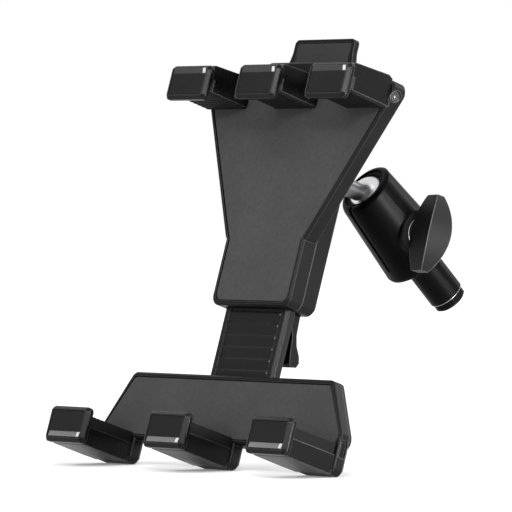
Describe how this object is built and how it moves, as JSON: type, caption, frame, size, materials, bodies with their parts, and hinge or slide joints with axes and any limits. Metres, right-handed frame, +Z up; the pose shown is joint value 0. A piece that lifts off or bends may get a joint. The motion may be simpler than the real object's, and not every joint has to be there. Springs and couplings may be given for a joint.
{
  "type": "phone and tablet holder",
  "caption": "Adjustable phone and tablet holder: V-shaped back plate with padded hooks, sliding lower jaw with release lever, ball joint and clamp arm ending in a round post.",
  "frame": {"origin": "on the plane of the front face, on the centre line, level with the centre of the ball", "axes": "+X to the right of someone facing the front, +Y from the front face to the back, +Z up along the slide"},
  "size_m": [0.1404, 0.1296, 0.1774],
  "materials": {
    "shell": "satin black moulded shell with bright worn-in edges",
    "frame": "polished black moulding",
    "pad": "matt charcoal, finely grained",
    "inlay": "flat dark grey",
    "rubber": "matt black rubber",
    "slide": "satin black, ridged",
    "steel": "plain screw and pin steel",
    "ball": "mirror-bright chrome",
    "arm": "satin black coated metal",
    "knob": "matt dark grey moulding",
    "post": "satin black coated steel"
  },
  "bodies": {
    "arm": {"arm_housing": "arm", "socket_liner": "rubber", "knob_washer": "rubber", "post": "post", "post_cap": "post"},
    "knob": {"clamp_bolt": "steel", "wing_knob": "knob"},
    "ball": {"ball": "ball"},
    "stem": {"ball_stem": "shell"},
    "holder": {"front_shell": "shell", "front_pad": "pad", "rear_shell": "shell", "tab_pad": "pad", "hook_pin": "steel", "body_screws": "steel", "top_hook_left": "frame", "top_hook_middle": "frame", "top_hook_right": "frame", "top_grip_left": "rubber", "top_grip_middle": "rubber", "top_grip_right": "rubber", "top_inlay_left": "inlay", "top_inlay_middle": "inlay", "top_inlay_right": "inlay", "lever_pin": "steel", "lever_spring": "steel", "pivot_flange": "shell", "flange_screws": "steel"},
    "jaw": {"slide_bar": "slide", "jaw_front_shell": "shell", "jaw_rear_shell": "shell", "jaw_pad": "pad", "jaw_screws": "steel", "bottom_hook_left": "frame", "bottom_hook_middle": "frame", "bottom_hook_right": "frame", "bottom_grip_left": "rubber", "bottom_grip_middle": "rubber", "bottom_grip_right": "rubber", "bottom_inlay_left": "inlay", "bottom_inlay_middle": "inlay", "bottom_inlay_right": "inlay"},
    "lever": {"release_lever": "shell"}
  },
  "joints": [
    {"name": "knob_turn", "type": "hinge", "parent": "arm", "child": "knob", "pos_m": [0.00221, 0.06778, -0.00989], "axis": [0.9921, -0.1253, 0], "continuous": true},
    {"name": "ball_swivel", "type": "hinge", "parent": "arm", "child": "ball", "pos_m": [0, 0.0503, 0], "axis": [0, 0, 1], "range_deg": [-24, 10]},
    {"name": "ball_tilt", "type": "hinge", "parent": "ball", "child": "stem", "pos_m": [0, 0.0503, 0], "axis": [1, 0, 0], "range_deg": [-56, 2]},
    {"name": "holder_turn", "type": "hinge", "parent": "stem", "child": "holder", "pos_m": [0, 0.0158, 0], "axis": [0, 1, 0], "continuous": true},
    {"name": "jaw_slide", "type": "slide", "parent": "holder", "child": "jaw", "axis": [0, 0, 1], "range_m": [-0.045, 0.022]},
    {"name": "lever_press", "type": "hinge", "parent": "holder", "child": "lever", "pos_m": [0, 0.0114, -0.046], "axis": [-1, 0, 0], "range_deg": [0, 7], "stiffness_Nm_per_rad": 0.4, "springref_deg": -8.59}
  ]
}
